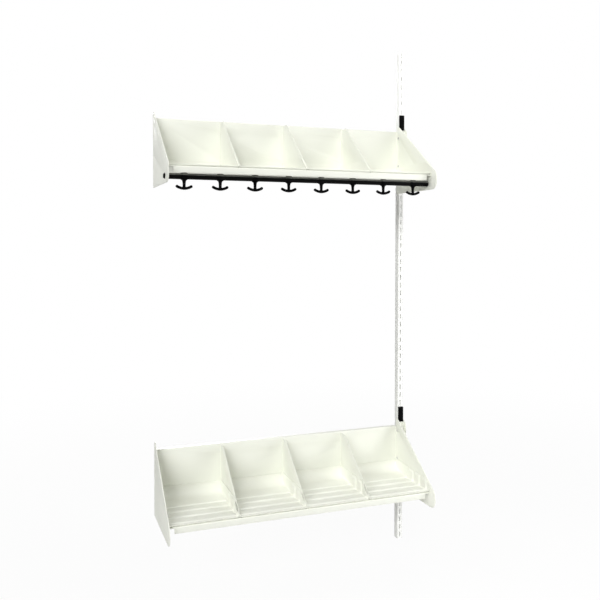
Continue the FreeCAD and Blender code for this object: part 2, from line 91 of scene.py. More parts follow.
class Board:
    """The node tree of a finish, of the world or of a repeated shape."""

    def __init__(self, tree):
        self.tree = tree
        tree.nodes.clear()

    def node(self, kind, settings, sockets, out=0):
        """Adds a node: its settings first, then the values or wires of its sockets."""
        node = self.tree.nodes.new(kind)
        for word, value in settings.items():
            setattr(node, word, value)
        for key, value in sockets.items():
            if isinstance(value, Wire):
                self.tree.links.new(value.socket, node.inputs[key])
            else:
                node.inputs[key].default_value = value
        return Wire(self, node.outputs[out]) if node.outputs else node

    def object_place(self):
        return self.node("ShaderNodeTexCoord", {}, {}, out="Object")

    def stretched(self, place, scale):
        return self.node("ShaderNodeMapping", {}, {"Vector": place, "Scale": scale})

    def noise(self, coordinates, scale, detail=2.0, roughness=0.5):
        return self.node("ShaderNodeTexNoise", {},
                         {"Vector": coordinates, "Scale": scale, "Detail": detail,
                          "Roughness": roughness})

    def mix(self, share, first, second):
        """A colour between two colours."""
        return self.node("ShaderNodeMix", {"data_type": "RGBA"},
                         {0: share, 6: first, 7: second}, out=2)

    def between(self, wire, low, high):
        """Spreads a part of a noise's range over 0 to 1."""
        return self.node("ShaderNodeMapRange", {},
                         {"Value": wire, "From Min": low, "From Max": high})


def new_board(name):
    material = bpy.data.materials.new(name)
    material.use_nodes = True
    return material, Board(material.node_tree)


def rgb(red, green, blue):
    return (red, green, blue, 1.0)


GRAIN_DEPTH = 0.1 * MM


def finish_surface(board, colour, roughness, height, bump, gloss=0.5, metal=0.0):
    """The principled shader at the end of every finish."""
    normal = board.node("ShaderNodeBump", {},
                        {"Height": height, "Strength": bump, "Distance": GRAIN_DEPTH})
    shader = board.node("ShaderNodeBsdfPrincipled", {},
                        {"Base Color": colour, "Roughness": roughness, "Metallic": metal,
                         "Specular IOR Level": gloss, "Normal": normal})
    board.node("ShaderNodeOutputMaterial", {}, {"Surface": shader})


def powder_coat(name, colour, worn):
    """Off-white powder coat: fine orange peel, and a little dulling from hands."""
    material, board = new_board(name)
    place = board.object_place()
    peel = board.noise(place, 900.0, 3.0, 0.6)
    cloud = board.noise(place, 5.0, 3.0)
    speck = board.between(board.noise(place, 240.0, 2.0), 0.68, 0.76)
    tint = board.mix(board.between(cloud, 0.3, 0.7), colour, worn)
    tint = board.mix(speck * 0.05, tint, rgb(0.45, 0.44, 0.40))
    roughness = 0.38 + cloud * 0.12 + speck * 0.1
    finish_surface(board, tint, roughness, peel, 0.25)
    return material


# Height above the tube's axis where the painted highlight on the upper side begins, and the
# height over which it fades in.
PAINTED_SHEEN_FROM = centre_of("hook_tube").z + 2.6 * MM
PAINTED_SHEEN_OVER = 1.6 * MM


def painted_sheen_above(board, place, tint):
    """Painted highlight: a lighter grey over the upper side of the tube and of the hooks'
    collars, standing in for the sheen that light gives them there.
    """
    height = board.node("ShaderNodeSeparateXYZ", {}, {"Vector": place}, out="Z")
    # Mask of the painted highlight: nothing below the start height, full above it.
    share = board.between(height, PAINTED_SHEEN_FROM, PAINTED_SHEEN_FROM + PAINTED_SHEEN_OVER)
    grain = board.noise(place, 160.0, 3.0)
    painted_sheen_grey = board.mix(grain, rgb(0.19, 0.19, 0.18), rgb(0.24, 0.24, 0.23))
    return board.mix(share, tint, painted_sheen_grey)


def black_paint():
    """Satin black enamel of the tube: faint rub marks along it, and a painted highlight, lighter
    grey, on its upper side.
    """
    material, board = new_board("black_tube_paint_with_painted_sheen")
    place = board.object_place()
    rub = board.noise(board.stretched(place, (6.0, 300.0, 300.0)), 1.0, 4.0)
    mark = board.between(rub, 0.6, 0.8)
    tint = board.mix(mark, rgb(0.003, 0.003, 0.003), rgb(0.012, 0.012, 0.012))
    finish_surface(board, painted_sheen_above(board, place, tint), 0.32 + mark * 0.2,
                   board.noise(place, 1500.0, 2.0), 0.15, gloss=0.04)
    return material


def black_plastic(name, with_painted_sheen=False):
    """Moulded black plastic with a fine spark-eroded grain; on the tube, a painted highlight,
    lighter grey, on its upper side.
    """
    material, board = new_board(name)
    place = board.object_place()
    grain = board.noise(place, 2600.0, 2.0, 0.7)
    cloud = board.noise(place, 40.0, 3.0)
    tint = board.mix(board.between(cloud, 0.35, 0.7), rgb(0.001, 0.001, 0.0012),
                     rgb(0.005, 0.005, 0.0054))
    # The hooks on the tube get the same painted highlight on their upper side as the tube.
    if with_painted_sheen:
        tint = painted_sheen_above(board, place, tint)
    finish_surface(board, tint, 0.4 + cloud * 0.2, grain, 0.5, gloss=0.02)
    return material


def liner_plastic():
    """Milky off-white moulded liner, a touch glossier than the paint round it."""
    material, board = new_board("liner_plastic")
    place = board.object_place()
    cloud = board.noise(place, 9.0, 3.0)
    flow = board.noise(board.stretched(place, (1.0, 6.0, 1.0)), 30.0, 4.0)
    scuff = board.between(board.noise(place, 75.0, 6.0, 0.7), 0.62, 0.75)
    tint = board.mix(board.between(cloud, 0.3, 0.7), rgb(0.84, 0.85, 0.775),
                     rgb(0.80, 0.81, 0.73))
    tint = board.mix(scuff * 0.12, tint, rgb(0.62, 0.61, 0.55))
    finish_surface(board, tint, 0.3 + flow * 0.15 + scuff * 0.15, flow, 0.2)
    return material


def zinc():
    """Bright zinc of the bracket screws, turned round their axis."""
    material, board = new_board("bright_zinc")
    place = board.object_place()
    turned = board.noise(place, 1800.0, 3.0)
    tint = board.mix(turned, rgb(0.42, 0.42, 0.41), rgb(0.6, 0.6, 0.58))
    finish_surface(board, tint, 0.25 + turned * 0.2, turned, 0.3, metal=1.0)
    return material


WHITE_PAINT = powder_coat("white_powder_coat", rgb(0.84, 0.852, 0.775), rgb(0.82, 0.832, 0.755))
RAIL_PAINT = powder_coat("rail_powder_coat", rgb(0.90, 0.905, 0.88), rgb(0.88, 0.885, 0.86))
TUBE_PAINT = black_paint()
BLACK_PLASTIC = black_plastic("black_moulded_plastic")
# The hooks' plastic carries the painted highlight on its upper side.
HOOK_PLASTIC = black_plastic("hook_plastic_with_painted_sheen", with_painted_sheen=True)
LINER_PLASTIC = liner_plastic()
ZINC = zinc()


def material_of(node):
    for word, material in (("liner", LINER_PLASTIC), ("hook_tube", TUBE_PAINT),
                           ("coat_hook", HOOK_PLASTIC), ("cap", BLACK_PLASTIC),
                           ("clip", BLACK_PLASTIC), ("screws", ZINC), ("wall_rail", RAIL_PAINT)):
        if word in node:
            return material
    return WHITE_PAINT


for name, thing in NODES.items():
    thing.data.materials.clear()
    thing.data.materials.append(material_of(name))


# Meshes
SHARP = math.radians(35)
HOOK_SHARP = math.radians(80)
LINER_SHARP = math.radians(60)
FLAT = math.radians(1)
WELD = 0.001 * MM
LOOSE_WELD = 0.02 * MM


def piece_from(mesh, name, material, sharp=SHARP):
    """A finished piece: smooth where it bends, sharp at its corners."""
    mesh.name = name
    mesh.materials.clear()
    mesh.materials.append(material)
    mesh.polygons.foreach_set("use_smooth", [True] * len(mesh.polygons))
    mesh.set_sharp_from_angle(angle=sharp)
    piece = bpy.data.objects.new(name, mesh)
    bpy.context.scene.collection.objects.link(piece)
    return piece


def mesh_from(bm, name):
    mesh = bpy.data.meshes.new(name)
    bm.to_mesh(mesh)
    bm.free()
    return mesh


def applied(piece, *modifiers):
    """The mesh that a piece has after the given modifiers; the piece itself goes."""
    for kind, settings in modifiers:
        modifier = piece.modifiers.new(kind.lower(), kind)
        for word, value in settings.items():
            setattr(modifier, word, value)
    graph = bpy.context.evaluated_depsgraph_get()
    mesh = bpy.data.meshes.new_from_object(piece.evaluated_get(graph))
    bpy.data.objects.remove(piece)
    return mesh


def loose_object(mesh):
    """An object that only carries a mesh through its modifiers."""
    carrier = bpy.data.objects.new("carrier", mesh)
    bpy.context.scene.collection.objects.link(carrier)
    return carrier


# Sheet metal with its edges broken
def softened(node, width):
    """A welded copy of a node with its sharp edges rounded over."""
    bm = bmesh.new()
    bm.from_mesh(NODES[node].data)
    bmesh.ops.remove_doubles(bm, verts=bm.verts, dist=WELD)
    bmesh.ops.dissolve_limit(bm, angle_limit=FLAT, verts=bm.verts, edges=bm.edges)
    edges = [e for e in bm.edges if e.is_manifold and e.calc_face_angle() > SHARP]
    bmesh.ops.bevel(bm, geom=edges, offset=width, offset_type="OFFSET", segments=2,
                    profile=0.5, affect="EDGES", clamp_overlap=True)
    return mesh_from(bm, node)


def dress(node, width):
    """Puts the softened copy in the node's place."""
    piece = piece_from(softened(node, width), node + "_sheet", material_of(node))
    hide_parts(node)
    return piece


# Round pieces turned about an axis along X
def turned(profile, segments):
    """A closed shape of revolution: (x, radius) pairs from one end of its axis to the other."""
    bm = bmesh.new()
    rings = []
    for x, radius in profile:
        if radius == 0:
            rings.append([bm.verts.new((x, 0, 0))] * segments)
            continue
        angles = [math.tau * i / segments for i in range(segments)]
        rings.append([bm.verts.new((x, radius * math.cos(a), radius * math.sin(a)))
                      for a in angles])
    for first, second in zip(rings, rings[1:]):
        for i in range(segments):
            j = (i + 1) % segments
            corners = []
            for vert in (first[i], first[j], second[j], second[i]):
                if vert not in corners:
                    corners.append(vert)
            bm.faces.new(corners)
    bmesh.ops.recalc_face_normals(bm, faces=bm.faces)
    return bm


def move(bm, offset):
    bmesh.ops.translate(bm, verts=bm.verts, vec=offset)
    return bm


TUBE_SEGMENTS = 96
TUBE_WALL = 1.5 * MM
TUBE_BREAK = 0.3 * MM
CAP_STAND = 3 * MM
CAP_CROWN = ((0, 0), (0.05, 0.35), (0.25, 0.68))
CAP_DOME = 2 * MM + CAP_STAND
CAP_RIM = 1.2 * MM
CAP_WALL = 1.6 * MM
PLUG_GROOVES = 3
PLUG_FIRST = 2.5 * MM
PLUG_PITCH = 3.5 * MM
PLUG_GROOVE = ((0, 0), (0.4, 0.5), (1.4, 0.5), (1.8, 0))
PLUG_BREAK = 0.8 * MM
QUARTER = tuple(math.radians(18 * step) for step in range(6))


def make_tube():
    """The hook tube with softly broken ends."""
    low, high = box_of("hook_tube")
    outer = (high.z - low.z) / 2
    inner = outer - TUBE_WALL
    reach = (high.x - low.x) / 2
    profile = [(-reach, inner + TUBE_BREAK), (-reach, outer - TUBE_BREAK),
               (TUBE_BREAK - reach, outer), (reach - TUBE_BREAK, outer),
               (reach, outer - TUBE_BREAK), (reach, inner + TUBE_BREAK),
               (reach - TUBE_BREAK, inner), (TUBE_BREAK - reach, inner)]
    bm = turned(profile + profile[:1], TUBE_SEGMENTS)
    bmesh.ops.remove_doubles(bm, verts=bm.verts, dist=WELD)
    piece = piece_from(mesh_from(move(bm, centre_of("hook_tube")), "hook_tube_skin"),
                       "hook_tube_skin", TUBE_PAINT)
    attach(piece, ROOT)
    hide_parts("hook_tube")


def make_cap(node, outwards):
    """A tube cap: a low dome with a rounded rim, and a ribbed plug."""
    low, high = box_of(node)
    radius = (high.z - low.z) / 2
    face = (high.x if outwards > 0 else low.x) + outwards * CAP_STAND
    length = high.x - low.x + CAP_STAND
    profile = [(along * MM, radius * share) for along, share in CAP_CROWN]
    profile += [(CAP_DOME - CAP_RIM * (0.25 + math.cos(turn)),
                 radius - CAP_RIM * (1 - math.sin(turn))) for turn in QUARTER]
    plug = radius - CAP_WALL
    profile += [(CAP_DOME, radius), (CAP_DOME, plug)]
    for number in range(PLUG_GROOVES):
        start = CAP_DOME + PLUG_FIRST + PLUG_PITCH * number
        profile += [(start + along * MM, plug - deep * MM) for along, deep in PLUG_GROOVE]
    profile += [(length - PLUG_BREAK, plug), (length, plug - PLUG_BREAK), (length, 0)]
    bm = turned([(face - outwards * x, r) for x, r in profile], TUBE_SEGMENTS)
    middle = centre_of(node)
    piece = piece_from(mesh_from(move(bm, (0, middle.y, middle.z)), node + "_dome"),
                       node + "_dome", BLACK_PLASTIC)
    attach(piece, ROOT)
    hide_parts(node)


# Coat hooks
HOOK_CELL = 0.9 * MM
ARM_BEND = 46 * MM
ARM_ANGLE = math.radians(32)
ARM_STEPS = 28
SECTION_STEPS = 20
RING_WALL = 3 * MM
COLLAR_HALF = 11.5 * MM
COLLAR_WALL = 2.4 * MM
COLLAR_SEGMENTS = 64
COLLAR_SHARES = (-1, -0.97, -0.9, -0.8, -0.6, -0.3, 0, 0.3, 0.6, 0.8, 0.9, 0.97, 1)
NECK = 1.6 * MM
STEM_STEPS = 12
STEM_WIDTH, STEM_WIDENS = 5.2 * MM, 3.0 * MM
STEM_DEPTH, STEM_DEEPENS = 3.9 * MM, 0.8 * MM
ARM_RISE = 4.25 * MM
ARM_TIP = 4.25 * MM
TIP_END = 0.05 * MM


def add_loft(bm, sections):
    """Skins closed oval sections, each (centre, across, along, half width, half depth)."""
    loops = []
    for centre, across, along, wide, deep in sections:
        loops.append([bm.verts.new(centre + across * (wide * math.cos(a)) +
                                   along * (deep * math.sin(a)))
                      for a in (math.tau * i / SECTION_STEPS for i in range(SECTION_STEPS))])
    for first, second in zip(loops, loops[1:]):
        for i in range(SECTION_STEPS):
            j = (i + 1) % SECTION_STEPS
            bm.faces.new((first[i], first[j], second[j], second[i]))
    bm.faces.new(loops[0])
    bm.faces.new(list(reversed(loops[-1])))


def hook_mesh():
    """One double hook about its tube's axis: barrel collar, stem and an anchor of two arms."""
    low, high = box_of("coat_hook_1")
    outer = (high.y - low.y) / 2
    bore = outer - RING_WALL
    bottom = -(high.z - low.z - outer)
    half = COLLAR_HALF
    barrel = [(half * share, bore + COLLAR_WALL * math.sqrt(1.02 - share ** 4))
              for share in COLLAR_SHARES]
    bm = turned([(-half, bore)] + barrel + [(half, bore), (-half, bore)], COLLAR_SEGMENTS)
    bmesh.ops.remove_doubles(bm, verts=bm.verts, dist=WELD)
    x_axis, y_axis = Vector((1, 0, 0)), Vector((0, 1, 0))
    arm_low = bottom + ARM_RISE
    neck_top = -bore - NECK
    stem = []
    for step in range(STEM_STEPS):
        share = step / (STEM_STEPS - 1)
        flare = math.exp(-share * 6)
        stem.append((Vector((0, 0, neck_top + (arm_low - neck_top) * share)), x_axis, y_axis,
                     STEM_WIDTH + STEM_WIDENS * flare, STEM_DEPTH + STEM_DEEPENS * flare))
    add_loft(bm, stem)
    arms = []
    for step in range(ARM_STEPS + 1):
        share = step / ARM_STEPS * 2 - 1
        turn = share * ARM_ANGLE
        place = Vector((math.sin(turn), 0, 1 - math.cos(turn))) * ARM_BEND
        place.z += arm_low
        across = Vector((-math.sin(turn), 0, math.cos(turn)))
        thick = (4.7 + 0.2 * abs(share) ** 3 + 0.2 * (1 - abs(share)) ** 3) * MM
        arms.append((place, across, y_axis, thick, thick))
    for end in (0, -1):
        place, across, along, thick, _ = arms[end]
        side = -1 if end == 0 else 1
        tangent = Vector((side * math.cos(ARM_ANGLE), 0, math.sin(ARM_ANGLE)))
        domes = [(place + tangent * (ARM_TIP * math.sin(turn)), across, along,
                  max(thick * math.cos(turn), TIP_END), max(thick * math.cos(turn), TIP_END))
                 for turn in QUARTER[1:]]
        if end == 0:
            arms = list(reversed(domes)) + arms
        else:
            arms = arms + domes
    add_loft(bm, arms)
    bmesh.ops.recalc_face_normals(bm, faces=bm.faces)
    return applied(loose_object(mesh_from(bm, "hook")),
                   ("REMESH", {"mode": "VOXEL", "voxel_size": HOOK_CELL}),
                   ("SMOOTH", {"factor": 0.5, "iterations": 4}))


def make_hooks():
    """Eight copies of the hook, each at its own place on the tube."""
    pattern = hook_mesh()
    middle = centre_of("hook_tube")
    for number in range(1, HOOKS + 1):
        node = "coat_hook_%d" % number
        mesh = pattern.copy()
        mesh.transform(Matrix.Translation((centre_of(node).x, middle.y, middle.z)))
        piece = piece_from(mesh, node + "_shape", HOOK_PLASTIC, HOOK_SHARP)
        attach(piece, node)
        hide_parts(node)


# Repeated shapes
def new_tree(name, inputs):
    """A geometry tree with named inputs; gives its board and a wire for each input."""
    tree = bpy.data.node_groups.new(name, "GeometryNodeTree")
    board = Board(tree)
    tree.interface.new_socket("Geometry", in_out="INPUT", socket_type="NodeSocketGeometry")
    tree.interface.new_socket("Geometry", in_out="OUTPUT", socket_type="NodeSocketGeometry")
    for word, kind in inputs:
        tree.interface.new_socket(word, in_out="INPUT", socket_type="NodeSocket" + kind)
    entry = board.node("NodeGroupInput", {}, {}).socket.node
    return board, {socket.name: Wire(board, socket) for socket in entry.outputs if socket.name}


def run_tree(tree, mesh, values):
    """Runs a geometry tree on a mesh and gives the plain mesh that comes out."""
    carrier = loose_object(mesh)
    modifier = carrier.modifiers.new("repeat", "NODES")
    modifier.node_group = tree
    for item in tree.interface.items_tree:
        if item.in_out == "INPUT" and item.name in values:
            modifier[item.identifier] = values[item.name]
    return applied(carrier)


def end_tree(board, geometry, finish):
    """Ends a tree as every tree here ends: real geometry with its finish."""
    real = board.node("GeometryNodeRealizeInstances", {}, {"Geometry": geometry})
    welded = board.node("GeometryNodeMergeByDistance", {},
                        {"Geometry": real, "Distance": 0.01 * MM})
    done = board.node("GeometryNodeSetMaterial", {}, {"Geometry": welded, "Material": finish})
    board.node("NodeGroupOutput", {}, {"Geometry": done})
    return board.tree


def rib_tree():
    """Repeats one rib's strip of a liner along its depth."""
    board, wires = new_tree("liner_ribs", (("Ribs", "Int"), ("Pitch", "Float"),
                                           ("Finish", "Material")))
    step = board.node("ShaderNodeCombineXYZ", {}, {"Y": wires["Pitch"]})
    line = board.node("GeometryNodeMeshLine", {"mode": "OFFSET"},
                      {"Count": wires["Ribs"], "Offset": step})
    strips = board.node("GeometryNodeInstanceOnPoints", {},
                        {"Points": line, "Instance": wires["Geometry"]})
    return end_tree(board, strips, wires["Finish"])


def screw_tree():
    """Sets a screw on every point, turned to face one way and each by its own angle."""
    board, wires = new_tree("screws", (("Screw", "Object"), ("Facing", "Vector"),
                                       ("Seed", "Int"), ("Finish", "Material")))
    screw = board.node("GeometryNodeObjectInfo", {}, {"Object": wires["Screw"]}, out="Geometry")
    turn = board.node("FunctionNodeRandomValue", {"data_type": "FLOAT"},
                      {"Min": 0.0, "Max": math.tau, "Seed": wires["Seed"]}, out="Value")
    own = board.node("ShaderNodeCombineXYZ", {}, {"Z": turn})
    facing = board.node("FunctionNodeAlignRotationToVector", {"axis": "Z"},
                        {"Vector": wires["Facing"]})
    own_turn = board.node("FunctionNodeEulerToRotation", {}, {"Euler": own})
    whole = board.node("FunctionNodeRotateRotation", {"rotation_space": "LOCAL"},
                       {"Rotation": facing, "Rotate By": own_turn})
    placed = board.node("GeometryNodeInstanceOnPoints", {},
                        {"Points": wires["Geometry"], "Instance": screw, "Rotation": whole})
    return end_tree(board, placed, wires["Finish"])


# Liners
RIBS = 3
RIB_PITCH = 49 * MM
RIB_HEIGHT = 4 * MM
RIB_HALF = 20.5 * MM
RIB_CORNER = 12 * MM
RIB_SLOPE = 9 * MM
PAD_SLOPE = 5 * MM
RIB_FRONT = 35 * MM
LINER_WALL = 2 * MM
LINER_BEND = 6 * MM
END_SPREAD = 0.8 * MM
FINGER_MARGIN = 3 * MM
RIM_DEPTH = 5 * MM
PAD_DEPTH = 97 * MM
COVE_HEIGHT = 46 * MM
COVE_RADIUS = 38 * MM
COVE_EDGE = 1 * MM
COVE_LIP = 2.7 * MM
COVE_TURNS = (12, 24, 36, 47, 57, 66, 74, 81, 87)
RIM_SLOPE = 1.5 * MM
RIM_STATIONS = (0, 3.5, 4, 4.5, 5)
PAD_STEPS = 5
BEND_STEPS = 8
FLOOR_MARGIN = 20 * MM
WALL_DROPS = (0, 2, 3, 3.6, 4.4, 5.2, 6.2, 7.5, 9, 11, 13, 15, 18, 26, 34)
RIB_STATIONS = (0, 6, 8.5, 10, 11.5, 13, 14.5, 15.8, 17, 17.8, 18.6, 19.3, 20, 20.5, 22.5, 24.5)
DIVIDER_FOOT = 6 * MM
DIVIDER_TOP = 45 * MM
PLATE_NOSE = 60 * MM
PLATE_BACK = 280 * MM
LEFT_SETBACK = 26 * MM
RIGHT_SETBACK = 4 * MM


def smooth_step(share):
    share = min(max(share, 0.0), 1.0)
    return share * share * (3 - 2 * share)


def liner_path(low, high):
    """Stations round a liner's inside: (place, inward normal, distance below the rim)."""
    x_low, x_high = low.x + LINER_WALL - END_SPREAD, high.x - LINER_WALL + END_SPREAD
    floor = low.z + LINER_WALL
    wall = [(Vector((x_low, 0, high.z - drop * MM)), Vector((1, 0, 0)), drop * MM)
            for drop in WALL_DROPS]
    bend = []
    for step in range(BEND_STEPS + 1):
        turn = math.radians(90 * step / BEND_STEPS)
        place = Vector((x_low + LINER_BEND * (1 - math.cos(turn)), 0,
                        floor + LINER_BEND * (1 - math.sin(turn))))
        bend.append((place, Vector((math.cos(turn), 0, math.sin(turn))), high.z - place.z))
    half = wall + bend + [(Vector((x_low + FLOOR_MARGIN, 0, floor)), Vector((0, 0, 1)),
                           high.z - floor)]
    other = [(Vector((x_low + x_high - place.x, 0, place.z)),
              Vector((-normal.x, 0, normal.z)), drop) for place, normal, drop in reversed(half)]
    return half + other


def rib_rise(across, drop):
    """How high a liner's rib stands this far from its centre line and below the rim."""
    beside = max(abs(across) - (RIB_HALF - RIB_CORNER), 0.0)
    beyond = max(FINGER_MARGIN + RIB_CORNER - drop, 0.0)
    inside = RIB_CORNER - math.hypot(beside, beyond)
    return RIB_HEIGHT * smooth_step(inside / RIB_SLOPE)


def strip(path, stations, rise, lift=lambda y: 0.0):
    """A strip of a liner's skin: stations in Y, its relief, and how far its floor is lifted."""
    bm = bmesh.new()
    deepest = max(drop for _, _, drop in path)
    rows = [[bm.verts.new(place + normal * rise(y, drop) +
                          Vector((0, y, lift(y) * drop / deepest)))
             for place, normal, drop in path] for y in stations]
    for near, far in zip(rows, rows[1:]):
        for i in range(len(path) - 1):
            bm.faces.new((near[i], near[i + 1], far[i + 1], far[i]))
    return bm


def make_liner(shelf, number, tree):
    """A loose liner: ribs repeated by the tree, a front rim, cut ends, and its thickness."""
    node = "%s_liner_%d" % (shelf, number)
    low, high = box_of(node)

    def floor_share(drop):
        """One on the floor, fading to nothing where the end wall's bend begins."""
        return smooth_step((drop - (high.z - low.z - LINER_WALL - LINER_BEND)) / LINER_BEND)

    def ribs_on_floor(across, drop):
        return rib_rise(across, drop) * floor_share(drop)

    path = liner_path(low, high)
    half = [station * MM for station in RIB_STATIONS]
    stations = [-y for y in reversed(half[1:])] + half
    rise = rib_rise if shelf == "lower" else ribs_on_floor
    rib = mesh_from(strip(path, stations, rise), node + "_strip")
    first = low.y + RIB_FRONT
    rib.transform(Matrix.Translation((0, first, 0)))
    mesh = run_tree(tree, rib, {"Ribs": RIBS, "Pitch": RIB_PITCH, "Finish": LINER_PLASTIC})
    bm = bmesh.new()
    bm.from_mesh(mesh)
    near = first - RIB_PITCH / 2

    def rim_rise(y, drop):
        return RIB_HEIGHT * smooth_step((low.y + RIM_DEPTH - y) / RIM_SLOPE) * floor_share(drop)

    def pad_rise(y, drop):
        return RIB_HEIGHT * smooth_step((y - pad) / PAD_SLOPE) * floor_share(drop)

    def cove_lift(y):
        turn = min(max((y - cove) / COVE_RADIUS, 0.0), 1.0)
        bend = COVE_RADIUS * (1 - math.sqrt(1 - turn * turn))
        return bend + max(COVE_HEIGHT - LINER_WALL - RIB_HEIGHT - COVE_RADIUS, 0) * (turn >= 1)

    far = first + RIB_PITCH * (RIBS - 0.5)
    pad = high.y - PAD_DEPTH
    cove = high.y - COVE_EDGE - COVE_RADIUS
    front = [low.y + station * MM for station in RIM_STATIONS] + [near]
    back = [far] + [pad + PAD_SLOPE * step / PAD_STEPS for step in range(PAD_STEPS + 1)] + [cove]
    back += [cove + COVE_RADIUS * math.sin(math.radians(turn)) for turn in COVE_TURNS]
    back += [high.y - COVE_EDGE, high.y + COVE_LIP]
    for border in (strip(path, front, rim_rise), strip(path, back, pad_rise, cove_lift)):
        bm.from_mesh(mesh_from(border, node + "_border"))
    bmesh.ops.remove_doubles(bm, verts=bm.verts, dist=LOOSE_WELD)
    cut_ends(bm, shelf, number, low, high)
    mesh = applied(loose_object(mesh_from(bm, node)),
                   ("SOLIDIFY", {"thickness": LINER_WALL, "offset": -1.0,
                                 "use_quality_normals": True}))
    piece = piece_from(mesh, node + "_ribbed", LINER_PLASTIC, LINER_SHARP)
    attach(piece, node)
    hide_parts(node)


def sloping_edge(shelf, at_divider, floor):
    """Two points of the sloping front edge of a divider, or of an end plate."""
    if at_divider:
        low, high = box_of(shelf + "_divider_1")
        return (Vector((0, low.y, floor + DIVIDER_FOOT)),
                Vector((0, high.y - DIVIDER_TOP, high.z)))
    low, high = box_of(shelf + "_left_plate")
    return Vector((0, low.y, low.z + PLATE_NOSE)), Vector((0, high.y, low.z + PLATE_BACK))


def cut_ends(bm, shelf, number, low, high):
    """Slopes both end walls back, in line with the edge of what stands beside them."""
    middle = (low.x + high.x) / 2
    above = low.z + LINER_WALL + LINER_BEND
    for side, at_divider, back in ((-1, number > 1, LEFT_SETBACK),
                                   (1, number < COMPARTMENTS, RIGHT_SETBACK)):
        foot, top = sloping_edge(shelf, at_divider, low.z)
        along = top - foot
        away = Vector((0, -along.z, along.y)).normalized()
        faces = [f for f in bm.faces if (f.calc_center_median().x - middle) * side > 0
                 and f.calc_center_median().z > above]
        edges = list({e for f in faces for e in f.edges})
        verts = list({v for f in faces for v in f.verts})
        bmesh.ops.bisect_plane(bm, geom=verts + edges + faces, dist=WELD,
                               plane_co=foot + Vector((0, back, 0)), plane_no=away,
                               clear_outer=True)


def make_liners():
    """Four liners in each unit."""
    tree = rib_tree()
    for shelf in SHELVES:
        for number in range(1, COMPARTMENTS + 1):
            make_liner(shelf, number, tree)


# Screws
HEAD_RINGS = 14
HEAD_SPOKES = 48
HEAD_INSET = 2.5 * MM
WALL_HOLE_SPREAD = 960 * MM
BRACKET_SEED = 3
WALL_SEED = 5


def screw_object(name, radius, height, shank, length):
    """A pan head screw along +Z, its underside at zero, with a cross recess."""
    bm = bmesh.new()
    arm, reach, deep = radius * 0.13, radius * 0.6, height * 0.55
    rings = []
    for ring in range(1, HEAD_RINGS + 1):
        share = ring / HEAD_RINGS
        row = []
        for spoke in range(HEAD_SPOKES):
            angle = math.tau * spoke / HEAD_SPOKES
            x, y = radius * share * math.cos(angle), radius * share * math.sin(angle)
            dome = height * (1 - 0.35 * share ** 2 - 0.45 * share ** 10)
            narrow, long = min(abs(x), abs(y)), max(abs(x), abs(y))
            inside = min((arm * 1.6 - narrow) / arm, (reach - long) / (reach * 0.35))
            row.append(bm.verts.new((x, y, dome - deep * smooth_step(inside))))
        rings.append(row)
    top = bm.verts.new((0, 0, height - deep))
    for z, wide in ((height * 0.1, radius), (0, radius * 0.96), (0, shank),
                    (-length + shank, shank), (-length, shank * 0.3)):
        rings.append([bm.verts.new((wide * math.cos(a), wide * math.sin(a), z))
                      for a in (math.tau * s / HEAD_SPOKES for s in range(HEAD_SPOKES))])
    for i in range(HEAD_SPOKES):
        j = (i + 1) % HEAD_SPOKES
        bm.faces.new((top, rings[0][i], rings[0][j]))
        for inner, outer in zip(rings, rings[1:]):
            bm.faces.new((inner[i], outer[i], outer[j], inner[j]))
    bm.faces.new(list(reversed(rings[-1])))
    bmesh.ops.recalc_face_normals(bm, faces=bm.faces)
    return loose_object(mesh_from(bm, name))


def set_screws(tree, name, screw, places, facing, seed, finish):
    """One piece of copies of a screw, which is removed."""
    points = bpy.data.meshes.new(name + "_places")
    points.from_pydata(places, [], [])
    mesh = run_tree(tree, points, {"Screw": screw, "Facing": facing, "Seed": seed,
                                   "Finish": finish})
    bpy.data.objects.remove(screw)
    return piece_from(mesh, name, finish)


def make_screws():
    """The screws of the brackets, and the two that hold the rail to the wall."""
    tree = screw_tree()
    places = []
    groups = [shelf + "_bracket_screws" for shelf in SHELVES]
    for group in groups:
        low, high = box_of(group)
        radius = (high.y - low.y) / 2
        places += [(low.x + HEAD_INSET, low.y + radius, low.z + radius),
                   (low.x + HEAD_INSET, low.y + radius, high.z - radius)]
    head = screw_object("bracket_screw", 4.75 * MM, 2.5 * MM, 2.5 * MM, 6 * MM)
    piece = set_screws(tree, "bracket_screw_set", head, places, (-1, 0, 0),
                       BRACKET_SEED, ZINC)
    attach(piece, ROOT)
    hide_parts(*groups)
    low, high = box_of("wall_rail")
    middle = (low.z + high.z) / 2
    head = screw_object("wall_screw", 5 * MM, 2.2 * MM, 2.4 * MM, 24 * MM)
    piece = set_screws(tree, "wall_screw_set", head,
                       [(0, low.y, middle - WALL_HOLE_SPREAD),
                        (0, low.y, middle + WALL_HOLE_SPREAD)],
                       (0, -1, 0), WALL_SEED, RAIL_PAINT)
    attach(piece, ROOT)


EDGE_BREAK = 0.35 * MM
RAIL_BREAK = 0.3 * MM
CLIP_BREAK = 1.4 * MM


def make_sheets():
    """Every sheet piece with its edges broken, and the clips with rounded ones."""
    for shelf in SHELVES:
        for word in ("left_plate", "right_plate", "tray", "rail_bracket", "divider_1",
                     "divider_2", "divider_3"):
            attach(dress("%s_%s" % (shelf, word), EDGE_BREAK), ROOT)
        clip = shelf + "_lock_clip"
        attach(dress(clip, CLIP_BREAK), clip)
    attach(dress("wall_rail", RAIL_BREAK), ROOT)


make_sheets()
make_tube()
make_cap("left_tube_cap", -1)
make_cap("right_tube_cap", 1)
make_hooks()
make_liners()
make_screws()


# Room, light and camera
FLOOR_LEVEL = -1.15
FLOOR_HALF = 14.0
FLOOR_FADE = (1.6, 4.5)
FLOOR_NEAR = 0.94
SUN_SPREAD = math.radians(20)
LAMP_WIDTH = 1.0
LAMP_AIM = (-0.5, -0.1, -0.1)
SKY = 0.04


